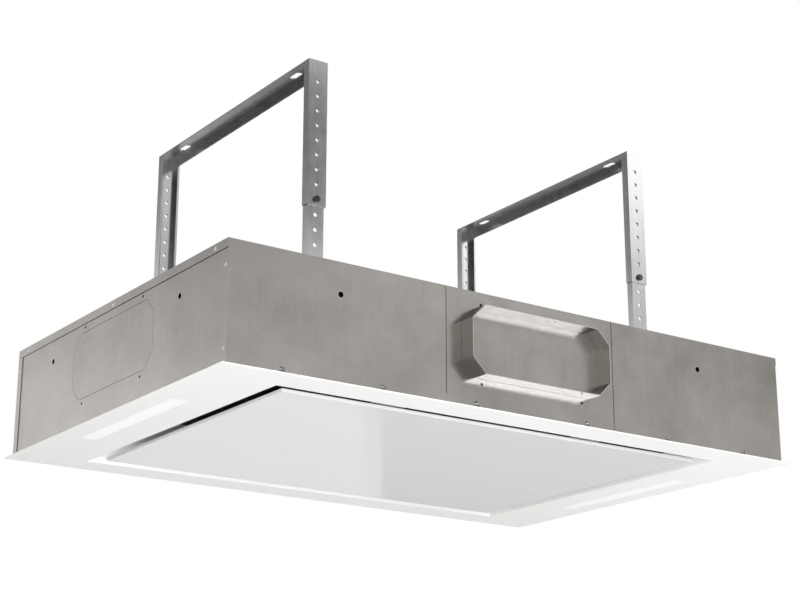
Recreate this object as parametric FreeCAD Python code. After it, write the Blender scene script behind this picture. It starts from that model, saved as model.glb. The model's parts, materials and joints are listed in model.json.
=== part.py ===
import FreeCAD, Part
import math
import os
from FreeCAD import Vector

# Ceiling range hood in millimetres, hung above a false ceiling.
# The origin is the middle of the ceiling plane, which is the upper face of the trim flange.
# X runs along the long side, Y along the short side with the outlet towards -Y, and Z is up.

# Steel box
box_length = 882.0
box_depth = 582.0
box_height = 150.0
sheet = 1.0
seam_margin = 23.5
seam_gap = 0.9
return_depth = 20.0
return_gap = 2.0
lip_height = 10.5
wrap_width = 12.0
fixing_hole_radius = 3.5
fixing_hole_drop = 40.5
fixing_hole_inset_x = 152.5
fixing_hole_inset_y = 114.5
rivet_radius = 1.6
rivet_head_radius = 2.8
rivet_head_height = 1.1
rivet_fit = 0.05
pressed_fit = 0.02
corner_rivet_inset = 6.0
corner_rivet_low = 20.0
corner_rivet_drop = 31.0
cover_rivet_inset = 30.0
cover_rivet_drop = 6.0

# White trim flange with its recess
trim_overhang = 9.0
trim_sheet = 1.5
border_x = 91.0
border_y = 41.0
recess_height = 26.0
skirt_height = 14.0
trim_screw_first = 88.6
trim_screw_pitch = 139.2
trim_screw_height = 5.7
trim_screws_each_way = 3
screw_radius = 1.9
screw_fit = 0.05
screw_hole_play = 0.3
screw_tail = 4.0
screw_head_radius = 4.0
screw_head_height = 2.4
recess_cross_length = 4.4
recess_cross_width = 0.9
recess_cross_depth = 1.2

# Flush suction panel, its tray, hinge and catches
panel_gap = 20.0
panel_edge_height = 4.0
panel_sheet = 1.0
panel_edge_break = 0.5
tray_inset = 18.0
tray_height = 8.5
tray_flange = 40.0
tray_top_return = 14.0
hinge_inset = 62.0
hinge_behind_tray = 10.0
hinge_above_panel = 6.0
hinge_pin_radius = 2.0
hinge_running_fit = 0.05
ear_radius = 5.0
ear_thickness = 2.0
ear_gap = 0.4
hinge_foot_width = 14.0
hinge_foot_thickness = 1.5
pin_head_radius = 3.6
pin_head_length = 1.5
catch_inset_x = 60.0
catch_inset_y = 8.0
catch_length = 40.0
catch_width = 12.0
catch_air_gap = 0.3

# Grease filters and their sliding latches
filter_side_margin = 35.0
filter_front_margin = 55.0
filter_rear_margin = 202.0
filter_middle_gap = 10.0
filter_height = 10.5
filter_border = 14.0
filter_skin = 1.0
mesh_bite = 8.0
mesh_play = 0.1
mesh_layer = 0.5
mesh_fold_layer = 0.4
mesh_fold_pitch = 12.0
deck_lip = 12.0
aperture_seat = 12.0
hook_width = 80.0
hook_reach = 6.0
hook_play = 0.5
latch_width = 50.0
latch_run = 30.0
latch_thickness = 2.4
latch_play = 0.3
latch_rail = 1.5
latch_rail_lip = 3.0
latch_rail_floor = 0.9
tongue_width = 24.0
tongue_reach = 8.0
keeper_play = 2.0
keeper_ledge = 8.0
finger_hole_length = 24.0
finger_hole_width = 10.0

# Strip lamps
lamp_inset = 33.0
lamp_length = 250.0
lamp_width = 22.0
lens_fit = 0.2
lens_rim = 3.0
lens_rim_thickness = 1.5
lamp_housing_height = 12.0
lamp_housing_margin = 7.0
lamp_board_width = 16.0
lamp_board_length = 240.0
lamp_board_thickness = 1.6
lamp_chip_count = 12
lamp_chip_size = 3.0
lamp_chip_height = 0.8

# Outlet collar and non-return flap
outlet_width = 222.0
outlet_height = 89.0
outlet_chamfer = 19.5
outlet_below_middle = 5.0
collar_reach = 23.0
collar_tail = 21.0
collar_flange = 12.0
collar_hole_fit = 0.1
collar_fixing_x = 80.6
collar_fixing_margin = 6.5
collar_fixing_radius = 1.8
flap_clearance = 0.55
flap_stop_play = 0.4
flap_stop_size = 6.0
flap_stop_x = 60.0
spindle_radius = 2.0
spindle_behind_face = 4.5
spindle_above_middle = 12.0
spindle_running_fit = 0.05
spindle_end = 1.5
saddle_width = 14.0
saddle_wall = 2.0
saddle_x = 55.0
knockout_slit = 0.5
knockout_tab = 2.5
knockout_slit_longest = 75.0

# Blower
impeller_radius = 95.0
blade_inner_radius = 76.0
blade_count = 36
blade_thickness = 1.2
blade_sweep_degrees = 14.0
blade_bulge_degrees = 2.5
front_ring_inner_radius = 86.0
impeller_disc = 2.0
impeller_low_gap = 9.0
impeller_high_gap = 6.0
scroll_clearance = 8.0
scroll_growth = 26.0
scroll_flange = 8.0
throat_length = 103.0
mouth_gap = 0.5
mouth_fit = 0.3
inlet_radius = 82.0
inlet_lip_height = 8.0
inlet_flange = 18.0
motor_radius = 46.0
motor_drop = 50.0
motor_flange_margin = 22.0
motor_flange_thickness = 3.0
motor_cap_radius = 30.0
motor_cap_height = 9.0
motor_entry = 7.0
motor_hole_play = 1.0
cup_play = 6.0
cup_wall = 1.5
hub_radius = 11.0
hub_length = 12.0
shaft_radius = 4.0
shaft_running_fit = 0.05
shaft_depth_in_motor = 40.0
buffer_radius = 10.0
buffer_edge = 26.0
buffer_mouth = 40.0
buffer_right = (75.0, 95.0)
buffer_left = (-115.0, 75.0)
stud_radius = 2.4
stud_depth = 6.0
stud_hole_play = 0.3

# Electrical box
control_width = 110.0
control_length = 150.0
control_height = 48.0
control_wall = 1.5
control_gap = 15.0
control_y = 95.0
board_width = 80.0
board_length = 96.0
board_thickness = 1.6
board_offset = -20.0
standoff_radius = 3.0
standoff_height = 12.0
standoff_inset = 6.0
terminal_width = 16.0
terminal_length = 50.0
terminal_height = 14.0
terminal_ways = 5
terminal_hole_radius = 2.0
capacitor_radius = 13.0
capacitor_height = 28.0
gland_offset = 52.0
gland_thread_radius = 8.0
gland_bore_radius = 4.5
gland_hex = 22.0
gland_hex_height = 8.0
gland_dome_height = 12.0
gland_dome_top_radius = 7.0
gland_tail = 8.0
gland_hole_play = 0.2
cable_radius = 3.0
cable_from_wall = 10.0
cable_bend_share = 0.45

# Hangers: perforated yokes sliding on perforated legs
hanger_x = 270.0
yoke_half_span = 204.0
yoke_width = 28.0
yoke_flange = 12.0
yoke_sheet = 1.5
yoke_top = 450.0
yoke_leg_length = 197.5
hole_pitch = 20.0
first_hole_drop = 29.5
last_hole_edge = 8.0
hanger_hole_radius = 2.75
slot_half_spacing = 150.0
slot_length = 22.0
slot_width = 9.0
leg_play = 0.3
leg_flange = 10.5
leg_top_gap = 14.0
leg_lowest_hole = 15.0
foot_length = 40.0
foot_bolt_first = 17.0
foot_bolt_pitch = 15.0
bolt_radius = 2.5
bolt_head_flats = 8.0
bolt_head_height = 2.8
bolt_tail = 2.0
nut_flats = 8.0
nut_height = 4.0

# Planes and places that follow from the sizes above
hx = box_length / 2
hy = box_depth / 2
cover_under = box_height - sheet
return_span = (skirt_height + return_gap, cover_under - return_gap)
fixing_z = box_height - fixing_hole_drop
opening_half_x = hx - border_x
opening_half_y = hy - border_y
panel_under = -trim_sheet
panel_floor = panel_under + panel_sheet
panel_top = panel_under + panel_edge_height
tray_top = panel_floor + tray_height
panel_half_x = opening_half_x - panel_gap
panel_half_y = opening_half_y - panel_gap
tray_half_x = panel_half_x - tray_inset
tray_half_y = panel_half_y - tray_inset
hinge_x = tray_half_x - hinge_inset
hinge_y = tray_half_y + hinge_behind_tray
hinge_z = panel_top + hinge_above_panel
filter_low = recess_height - filter_height
filter_front = filter_front_margin - opening_half_y
filter_rear = opening_half_y - filter_rear_margin
filter_length = opening_half_x - filter_side_margin - filter_middle_gap / 2
filter_x = (filter_middle_gap + filter_length) / 2
latch_low = filter_low - latch_play - latch_thickness
lamp_x = hx - lamp_inset
outlet_z = (recess_height + sheet + cover_under) / 2 - outlet_below_middle
outlet_low = outlet_z - outlet_height / 2
outlet_high = outlet_z + outlet_height / 2
seam_half = outlet_width / 2 + seam_margin
collar_fixing_z = outlet_height / 2 + collar_fixing_margin
collar_wall = sheet
mouth_y = -hy + collar_tail + mouth_gap
mouth_half = outlet_width / 2 + mouth_fit
scroll_base = impeller_radius + scroll_clearance + scroll_growth / 2
fan_x = scroll_base + 2.5 * scroll_growth - mouth_half
fan_y = mouth_y + throat_length + scroll_base - scroll_growth / 2
scroll_top = outlet_high + sheet
impeller_low = outlet_low + impeller_low_gap
impeller_high = outlet_high - impeller_high_gap
motor_low = scroll_top - motor_drop
cup_radius = motor_radius + cup_play
cup_floor = motor_low - cup_play
control_x = -hx + sheet + control_gap + control_width / 2
control_low = cover_under - control_height
board_top = cover_under - control_wall - standoff_height
board_low = board_top - board_thickness
gland_y = control_y + gland_offset
yoke_low = yoke_top - yoke_leg_length
leg_half_span = yoke_half_span - yoke_sheet - leg_play
leg_width = yoke_width - 2 * (yoke_sheet + leg_play)
leg_top = yoke_top - leg_top_gap
yoke_holes = 1 + round((yoke_leg_length - first_hole_drop - last_hole_edge) // hole_pitch)
hole_heights = [yoke_top - first_hole_drop - hole_pitch * k for k in range(yoke_holes)]
bolt_height = hole_heights[-1]
trim_screw_places = [
    side * (trim_screw_first + trim_screw_pitch * k)
    for side in (-1, 1)
    for k in range(trim_screws_each_way)
]
foot_bolt_places = [
    (side_x * hanger_x, side_y * (leg_half_span - foot_bolt_first - foot_bolt_pitch * k))
    for side_x in (-1, 1)
    for side_y in (-1, 1)
    for k in range(2)
]
buffer_places = [
    (fan_x + buffer_right[0], fan_y + buffer_right[1]),
    (fan_x + buffer_left[0], fan_y + buffer_left[1]),
    (buffer_edge - mouth_half, mouth_y + buffer_mouth),
    (mouth_half - buffer_edge, mouth_y + buffer_mouth),
]
AXIS_X = Vector(1, 0, 0)
AXIS_Y = Vector(0, 1, 0)
AXIS_Z = Vector(0, 0, 1)


def block(x, y, z):
    """Box between a low and a high limit on each axis."""
    return Part.makeBox(x[1] - x[0], y[1] - y[0], z[1] - z[0], Vector(x[0], y[0], z[0]))


def rod(radius, start, end):
    """Round bar between two points."""
    run = end.sub(start)
    return Part.makeCylinder(radius, run.Length, start, run)


def tube(outer, inner, x, y, z):
    """Upright round tube between two heights."""
    wall = rod(outer, Vector(x, y, z[0]), Vector(x, y, z[1]))
    return wall.cut(rod(inner, Vector(x, y, z[0]), Vector(x, y, z[1])))


def ring(half_x, half_y, wall, z):
    """Rectangular wall round the middle, measured to its outside."""
    outer = block((-half_x, half_x), (-half_y, half_y), z)
    return outer.cut(block((wall - half_x, half_x - wall), (wall - half_y, half_y - wall), z))


def prism(points, run):
    """Straight-sided outline pushed along a run."""
    return Part.Face(Part.makePolygon(points + points[:1])).extrude(run)


def joined(shapes):
    """One solid from pieces that meet."""
    return shapes[0].multiFuse(shapes[1:]).removeSplitter()


def flipped(shape, axis):
    """Mirror image across the middle plane that is square to an axis."""
    return shape.mirror(Vector(0, 0, 0), axis)


def aimed(shape, place, axis):
    """Copy of a fastener made along +Z, set at a place with its head towards an axis."""
    copy = shape.copy()
    copy.Placement = FreeCAD.Placement(place, FreeCAD.Rotation(AXIS_Z, axis))
    return copy


def hexagon(flats, z):
    """Six-sided bar on the Z axis between two heights."""
    corner = flats / math.sqrt(3)
    angles = [math.radians(60 * k) for k in range(6)]
    points = [Vector(corner * math.cos(a), corner * math.sin(a), z[0]) for a in angles]
    return prism(points, Vector(0, 0, z[1] - z[0]))


def dome(radius, height):
    """Low round cap on the Z axis."""
    ball = (radius**2 + height**2) / (2 * height)
    cap = Part.makeSphere(ball, Vector(0, 0, height - ball))
    return cap.common(rod(radius, Vector(0, 0, 0), Vector(0, 0, height)))


def octagon(half_width, half_height, chamfer):
    """Corners of the outlet's eight-sided outline, across and up from its middle."""
    flat = half_width - chamfer
    side = half_height - chamfer
    right = [(half_width, -side), (half_width, side), (flat, half_height)]
    left = [(-flat, half_height), (-half_width, side), (-half_width, -side)]
    return right + left + [(-flat, -half_height), (flat, -half_height)]


def outlet_prism(grow, y):
    """Solid with the outlet's outline, grown all round, between two places along Y."""
    corners = octagon(
        outlet_width / 2 + grow,
        outlet_height / 2 + grow,
        outlet_chamfer + grow * (2 - math.sqrt(2)),
    )
    points = [Vector(across, y[0], outlet_z + up) for across, up in corners]
    return prism(points, Vector(0, y[1] - y[0], 0))


def write(node, *shapes):
    """Save the solids of one named piece."""
    solids = [solid for shape in shapes for solid in shape.Solids]
    body = solids[0] if len(solids) == 1 else Part.makeCompound(solids)
    body.exportStep(os.path.join("parts", node + ".step"))
    sound = all(solid.isValid() for solid in solids)
    print(node, len(solids), "solids", round(body.Volume), "mm3", "valid" if sound else "NOT VALID")


def pan_screw(length):
    """Cross-recessed pan head with its shank below the head's seat."""
    head = dome(screw_head_radius, screw_head_height)
    long = (-recess_cross_length / 2, recess_cross_length / 2)
    short = (-recess_cross_width / 2, recess_cross_width / 2)
    deep = (screw_head_height - recess_cross_depth, screw_head_height)
    head = head.cut(joined([block(long, short, deep), block(short, long, deep)]))
    return joined([head, rod(screw_radius, Vector(0, 0, -length), Vector(0, 0, 0))])


def rivet(grip):
    """Blind rivet through a grip of sheet."""
    shank = rod(rivet_radius, Vector(0, 0, -grip), Vector(0, 0, 0))
    return joined([dome(rivet_head_radius, rivet_head_height), shank])


def hex_bolt(grip):
    """Hexagon bolt through a grip of sheet, and its nut."""
    head = hexagon(bolt_head_flats, (0, bolt_head_height))
    shank = rod(bolt_radius, Vector(0, 0, -grip - nut_height - bolt_tail), Vector(0, 0, 0))
    nut = hexagon(nut_flats, (-grip - nut_height, -grip))
    return [joined([head, shank]), nut.cut(shank)]


def knockout_slits(place, run):
    """Laser cuts round a knock-out, broken by the tabs that hold it in."""
    outline = octagon(outlet_width / 2, outlet_height / 2, outlet_chamfer)
    corners = [Vector(*corner, 0) for corner in outline]
    slits = []
    for start, end in zip(corners, corners[1:] + corners[:1]):
        edge = end.sub(start)
        count = math.ceil(edge.Length / knockout_slit_longest)
        along = edge / edge.Length
        aside = Vector(-along.y, along.x, 0) * (knockout_slit / 2)
        step = edge.Length / count
        for k in range(count):
            first = start + along * (k * step + knockout_tab / 2)
            last = start + along * ((k + 1) * step - knockout_tab / 2)
            slot = [first - aside, last - aside, last + aside, first + aside]
            slits.append(prism([place(spot) for spot in slot], run))
    return slits


def collar_fixing_holes(place, run):
    """Four small holes round an outlet or a knock-out."""
    holes = []
    for across in (-collar_fixing_x, collar_fixing_x):
        for up in (-collar_fixing_z, collar_fixing_z):
            start = place(Vector(across, up, 0))
            holes.append(rod(collar_fixing_radius, start, start + run))
    return holes


# Steel box

def long_wall_sheet():
    """Left part of the front wall: flat sheet, fold at the seam and holes."""
    seam_x = -seam_half - seam_gap / 2
    sheet_y = (-hy, -hy + sheet)
    plate = block((-hx, seam_x), sheet_y, (0, cover_under))
    fold = block((seam_x - sheet, seam_x), (-hy, -hy + return_depth), return_span)
    holes = [(fixing_hole_inset_x - hx, fixing_z, fixing_hole_radius)]
    wide = screw_radius + screw_hole_play
    holes += [(x, trim_screw_height, wide) for x in trim_screw_places if x < seam_x]
    cuts = [rod(r, Vector(x, -hy, z), Vector(x, -hy + sheet, z)) for x, z, r in holes]
    return joined([plate, fold]).cut(Part.makeCompound(cuts))


def corner_rivet_cuts(side_y):
    """Rivet holes beside a corner of the left wall."""
    y = side_y * (hy - corner_rivet_inset)
    outer = -hx - sheet
    inner = -hx + 2 * sheet
    heights = (corner_rivet_low, box_height - corner_rivet_drop)
    radius = rivet_radius + rivet_fit
    return [rod(radius, Vector(outer, y, z), Vector(inner, y, z)) for z in heights]


def front_wall():
    """Left part of the front wall, folded back inside the short wall."""
    fold = block((-hx + sheet, -hx + 2 * sheet), (-hy, -hy + return_depth), return_span)
    return joined([long_wall_sheet(), fold]).cut(Part.makeCompound(corner_rivet_cuts(-1)))


def rear_wall():
    """Left part of the rear wall, wrapped round the outside of the short wall."""
    wrap = block((-hx - sheet, -hx), (hy - wrap_width, hy), (0, box_height - lip_height - seam_gap))
    whole = joined([flipped(long_wall_sheet(), AXIS_Y), wrap])
    return whole.cut(Part.makeCompound(corner_rivet_cuts(1)))


def centre_plate():
    """Middle sheet of a long wall with its folds, before any outlet is cut."""
    half = seam_half - seam_gap / 2
    plate = block((-half, half), (-hy, -hy + sheet), (0, cover_under))
    folds = [
        block((-half, sheet - half), (-hy, -hy + return_depth), return_span),
        block((half - sheet, half), (-hy, -hy + return_depth), return_span),
    ]
    cuts = collar_fixing_holes(on_front, AXIS_Y * sheet)
    for x in trim_screw_places:
        if abs(x) < half:
            start = Vector(x, -hy, trim_screw_height)
            cuts.append(rod(screw_radius + screw_hole_play, start, start + AXIS_Y * sheet))
    return joined([plate] + folds).cut(Part.makeCompound(cuts))


def on_front(spot):
    """Point of the front face from its place across and up from the outlet's middle."""
    return Vector(spot.x, -hy, outlet_z + spot.y)


def on_left(spot):
    """Point of the left face from its place across and up from the knock-out's middle."""
    return Vector(-hx, spot.x, outlet_z + spot.y)


def outlet_plate():
    """Middle sheet of the front wall with the outlet cut out."""
    return centre_plate().cut(outlet_prism(collar_hole_fit, (-hy, -hy + sheet)))


def access_plate():
    """Middle sheet of the rear wall with its knock-out still in."""
    cuts = knockout_slits(on_front, AXIS_Y * sheet)
    return flipped(centre_plate().cut(Part.makeCompound(cuts)), AXIS_Y)


def side_wall():
    """Left short wall with knock-out, fixing holes and rivet holes."""
    plate = block((-hx, -hx + sheet), (-hy + sheet, hy - sheet), (0, cover_under))
    through = AXIS_X * sheet
    cuts = knockout_slits(on_left, through) + collar_fixing_holes(on_left, through)
    for y in (fixing_hole_inset_y - hy, hy - fixing_hole_inset_y):
        cuts.append(Part.makeCylinder(fixing_hole_radius, sheet, Vector(-hx, y, fixing_z), AXIS_X))
    cuts += corner_rivet_cuts(-1) + corner_rivet_cuts(1) + cover_rivet_cuts()
    return plate.cut(Part.makeCompound(cuts))


def cover_rivet_places():
    """Rivet places along the left lip of the top cover."""
    z = box_height - cover_rivet_drop
    return [Vector(-hx - sheet, y, z) for y in (cover_rivet_inset - hy, 0, hy - cover_rivet_inset)]


def cover_rivet_cuts():
    """Holes for the rivets along the left lip."""
    radius = rivet_radius + rivet_fit
    return [rod(radius, place, place + AXIS_X * 2 * sheet) for place in cover_rivet_places()]


def top_cover():
    """Roof of the box with a riveted lip over each short wall."""
    plate = block((-hx - sheet, hx + sheet), (-hy, hy), (cover_under, box_height))
    lip = block((-hx - sheet, -hx), (-hy, hy), (box_height - lip_height, cover_under))
    left_cuts = Part.makeCompound(cover_rivet_cuts())
    spots = [(x, y, hanger_hole_radius) for x, y in foot_bolt_places]
    spots += [(x, y, stud_radius + stud_hole_play) for x, y in buffer_places]
    spots.append((control_x, gland_y, gland_thread_radius + gland_hole_play))
    cuts = [rod(r, Vector(x, y, cover_under), Vector(x, y, box_height)) for x, y, r in spots]
    whole = joined([plate, lip, flipped(lip, AXIS_X)])
    return whole.cut(Part.makeCompound(cuts + [left_cuts, flipped(left_cuts, AXIS_X)]))


def all_rivets():
    """Every rivet of the box."""
    left = [aimed(rivet(2 * sheet), place, -AXIS_X) for place in cover_rivet_places()]
    for z in (corner_rivet_low, box_height - corner_rivet_drop):
        left.append(aimed(rivet(2 * sheet), Vector(-hx, corner_rivet_inset - hy, z), -AXIS_X))
        left.append(aimed(rivet(2 * sheet), Vector(-hx - sheet, hy - corner_rivet_inset, z), -AXIS_X))
    return left + [flipped(one, AXIS_X) for one in left]


# White trim flange

def trim_frame():
    """Flange, recess walls and screw skirt, folded from one sheet."""
    flange = block(
        (-hx - trim_overhang, hx + trim_overhang),
        (-hy - trim_overhang, hy + trim_overhang),
        (-trim_sheet, 0),
    )
    hole = block(
        (-opening_half_x, opening_half_x),
        (-opening_half_y, opening_half_y),
        (-trim_sheet, 0),
    )
    recess = ring(
        opening_half_x + trim_sheet,
        opening_half_y + trim_sheet,
        trim_sheet,
        (-trim_sheet, recess_height),
    )
    skirt = ring(hx - sheet, hy - sheet, trim_sheet, (0, skirt_height))
    half = lamp_width / 2
    window = block((lamp_x - half, lamp_x + half), (-lamp_length / 2, lamp_length / 2), (-trim_sheet, 0))
    cuts = [window, flipped(window, AXIS_X)]
    for x in trim_screw_places:
        start = Vector(x, -hy, trim_screw_height)
        cuts.append(rod(screw_radius + screw_fit, start, Vector(x, hy, trim_screw_height)))
    skirt = skirt.cut(Part.makeCompound(cuts[2:]))
    return joined([flange.cut(hole).cut(Part.makeCompound(cuts[:2])), recess, skirt])


def trim_screws():
    """Screws through the long walls into the skirt."""
    screw = pan_screw(sheet + trim_sheet + screw_tail)
    front = [aimed(screw, Vector(x, -hy, trim_screw_height), -AXIS_Y) for x in trim_screw_places]
    return front + [aimed(screw, Vector(x, hy, trim_screw_height), AXIS_Y) for x in trim_screw_places]


# Suction panel, hinge and catches

def suction_panel():
    """Flush panel: a shallow pan with its lower edges broken."""
    plate = block((-panel_half_x, panel_half_x), (-panel_half_y, panel_half_y), (panel_under, panel_top))
    low = [edge for edge in plate.Edges if edge.BoundBox.ZMax < panel_under + panel_edge_break]
    room_x = panel_half_x - panel_sheet
    room_y = panel_half_y - panel_sheet
    room = block((-room_x, room_x), (-room_y, room_y), (panel_floor, panel_top))
    return plate.makeChamfer(panel_edge_break, low).cut(room)


def panel_tray():
    """Folded stiffening frame on the back of the panel."""
    foot = ring(tray_half_x, tray_half_y, tray_flange, (panel_floor, panel_floor + sheet))
    wall = ring(tray_half_x, tray_half_y, sheet, (panel_floor, tray_top))
    top = ring(tray_half_x, tray_half_y, tray_top_return, (tray_top - sheet, tray_top))
    return joined([foot, wall, top])


def hinge_arm():
    """Right-hand hinge arm, welded to the tray's rear wall."""
    x = (hinge_x - ear_thickness, hinge_x)
    z = (panel_top + sheet, tray_top)
    ear = rod(ear_radius, Vector(x[0], hinge_y, hinge_z), Vector(x[1], hinge_y, hinge_z))
    reach = block(x, (tray_half_y, hinge_y), z)
    foot_y = (tray_half_y, tray_half_y + hinge_foot_thickness)
    foot = block((hinge_x - hinge_foot_width, hinge_x), foot_y, z)
    bore = hinge_pin_radius + hinge_running_fit
    hole = rod(bore, Vector(x[0], hinge_y, hinge_z), Vector(x[1], hinge_y, hinge_z))
    return joined([ear, reach, foot]).cut(hole)


def hinge_bracket():
    """Right-hand hinge bracket, hung from the deck beside the arm."""
    inner = hinge_x + ear_gap
    x = (inner, inner + ear_thickness)
    y = (hinge_y - ear_radius, hinge_y + ear_radius)
    ear = rod(ear_radius, Vector(x[0], hinge_y, hinge_z), Vector(x[1], hinge_y, hinge_z))
    drop = block(x, y, (hinge_z, recess_height))
    foot = block((inner, inner + hinge_foot_width), y, (recess_height - hinge_foot_thickness, recess_height))
    bore = hinge_pin_radius + pressed_fit
    hole = rod(bore, Vector(x[0], hinge_y, hinge_z), Vector(x[1], hinge_y, hinge_z))
    return joined([ear, drop, foot]).cut(hole)


def hinge_pin():
    """Right-hand pin, pressed into the bracket, with its head beside the arm."""
    seat = Vector(hinge_x - ear_thickness - ear_gap, hinge_y, hinge_z)
    end = Vector(hinge_x + ear_gap + ear_thickness + pin_head_length, hinge_y, hinge_z)
    head = rod(pin_head_radius, seat - AXIS_X * pin_head_length, seat)
    return joined([head, rod(hinge_pin_radius, seat, end)])


def magnet_catch():
    """Right-hand magnet block that holds the front edge of the tray."""
    x = tray_half_x - catch_inset_x
    y = catch_inset_y - tray_half_y
    return block(
        (x - catch_length / 2, x + catch_length / 2),
        (y - catch_width / 2, y + catch_width / 2),
        (tray_top + catch_air_gap, recess_height),
    )


# Filters

def filter_deck():
    """Plate over the recess with two filter apertures, rear hooks and front keepers."""
    half_x = opening_half_x + trim_sheet + sheet
    half_y = opening_half_y + trim_sheet + sheet
    plate = block((-half_x, half_x), (-half_y, half_y), (recess_height, recess_height + sheet))
    lip = ring(half_x, half_y, sheet, (recess_height - deck_lip, recess_height))
    pieces = [lip]
    seat_x = filter_length / 2 - aperture_seat
    seat_y = (filter_front + aperture_seat, filter_rear - aperture_seat)
    for x in (-filter_x, filter_x):
        seat_z = (recess_height, recess_height + sheet)
        plate = plate.cut(block((x - seat_x, x + seat_x), seat_y, seat_z))
        hook_x = (x - hook_width / 2, x + hook_width / 2)
        hook_y = filter_rear + hook_play
        pieces.append(block(hook_x, (hook_y, hook_y + sheet), (filter_low - sheet, recess_height)))
        pieces.append(block(hook_x, (filter_rear - hook_reach, hook_y), (filter_low - sheet, filter_low)))
        keeper_x = (x - tongue_width, x + tongue_width)
        keeper_y = filter_front - tongue_reach - keeper_play
        ledge_z = (latch_low - latch_play - sheet, latch_low - latch_play)
        pieces.append(block(keeper_x, (keeper_y - sheet, keeper_y), (ledge_z[0], recess_height)))
        pieces.append(block(keeper_x, (keeper_y, keeper_y + keeper_ledge), ledge_z))
    return joined([plate] + pieces)


def filter_frame():
    """Right-hand filter frame: folded edge channel and the latch rails."""
    half = filter_length / 2
    span_z = (filter_low, recess_height)
    solid = block((filter_x - half, filter_x + half), (filter_front, filter_rear), span_z)
    inner_x = half - filter_border
    inner_y = (filter_front + filter_border, filter_rear - filter_border)
    hole = block((filter_x - inner_x, filter_x + inner_x), inner_y, span_z)
    groove = block(*mesh_limits(0))
    rail_x = latch_width / 2 + latch_play
    low = latch_low - latch_play - latch_rail_floor
    y = (filter_front, filter_front + filter_border)
    rails = []
    for side in (-1, 1):
        wall = sorted((filter_x + side * rail_x, filter_x + side * (rail_x + latch_rail)))
        lip = sorted((filter_x + side * (rail_x - latch_rail_lip), filter_x + side * rail_x))
        rails.append(block(wall, y, (low, filter_low)))
        rails.append(block(lip, y, (low, low + latch_rail_floor)))
    return joined([solid.cut(hole).cut(groove)] + rails)


def mesh_limits(play):
    """Limits of the right-hand mesh on each axis, less a play round its edges."""
    edge = filter_border - mesh_bite + play
    half_x = filter_length / 2 - edge
    z = (filter_low + filter_skin, recess_height - filter_skin)
    return (filter_x - half_x, filter_x + half_x), (filter_front + edge, filter_rear - edge), z


def filter_mesh():
    """Right-hand mesh: two flat layers with a folded layer between them."""
    x, y, z = mesh_limits(mesh_play)
    low = block(x, y, (z[0], z[0] + mesh_layer))
    high = block(x, y, (z[1] - mesh_layer, z[1]))
    count = 2 * round((x[1] - x[0]) / mesh_fold_pitch)
    step = (x[1] - x[0]) / count
    fold_z = (z[0] + mesh_layer + mesh_play, z[1] - mesh_layer - mesh_play - mesh_fold_layer)
    under = [Vector(x[0] + step * k, y[0], fold_z[k % 2]) for k in range(count + 1)]
    over = [point + AXIS_Z * mesh_fold_layer for point in under]
    return [low, high, prism(under + over[::-1], AXIS_Y * (y[1] - y[0]))]


def filter_latch():
    """Right-hand sliding latch with its finger hole and tongue."""
    z = (latch_low, latch_low + latch_thickness)
    back = filter_front + latch_run
    half = latch_width / 2
    plate = block((filter_x - half, filter_x + half), (filter_front + sheet, back), z)
    tongue = block(
        (filter_x - tongue_width / 2, filter_x + tongue_width / 2),
        (filter_front - tongue_reach, filter_front + sheet),
        z,
    )
    finger_y = back - finger_hole_width
    straight = (finger_hole_length - finger_hole_width) / 2
    round_end = finger_hole_width / 2
    finger = []
    for x in (filter_x - straight, filter_x + straight):
        finger.append(rod(round_end, Vector(x, finger_y, z[0]), Vector(x, finger_y, z[1])))
    middle = (finger_y - round_end, finger_y + round_end)
    finger.append(block((filter_x - straight, filter_x + straight), middle, z))
    return joined([plate, tongue]).cut(joined(finger))


# Strip lamps

def lamp_lens():
    """Right-hand opal lens, flush in its window, with a rim behind the flange."""
    half_x = lamp_width / 2 - lens_fit
    half_y = lamp_length / 2 - lens_fit
    face = block((lamp_x - half_x, lamp_x + half_x), (-half_y, half_y), (-trim_sheet, 0))
    rim_x = lamp_width / 2 + lens_rim
    rim_y = lamp_length / 2 + lens_rim
    rim = block((lamp_x - rim_x, lamp_x + rim_x), (-rim_y, rim_y), (0, lens_rim_thickness))
    return joined([face, rim])


def lamp_housing():
    """Right-hand channel over the lens."""
    half_x = lamp_width / 2 + lamp_housing_margin
    half_y = lamp_length / 2 + lamp_housing_margin
    shell = block((lamp_x - half_x, lamp_x + half_x), (-half_y, half_y), (0, lamp_housing_height))
    room_x = half_x - sheet
    room_y = half_y - sheet
    room = block((lamp_x - room_x, lamp_x + room_x), (-room_y, room_y), (0, lamp_housing_height - sheet))
    return shell.cut(room)


def lamp_board():
    """Right-hand light board with its row of chips."""
    high = lamp_housing_height - sheet
    low = high - lamp_board_thickness
    half_y = lamp_board_length / 2
    half_x = lamp_board_width / 2
    strip = block((lamp_x - half_x, lamp_x + half_x), (-half_y, half_y), (low, high))
    half = lamp_chip_size / 2
    pitch = lamp_board_length / lamp_chip_count
    chips = []
    for k in range(lamp_chip_count):
        y = (k + 0.5) * pitch - half_y
        chip_z = (low - lamp_chip_height, low)
        chips.append(block((lamp_x - half, lamp_x + half), (y - half, y + half), chip_z))
    return joined([strip] + chips)


# Outlet collar and flap

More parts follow.
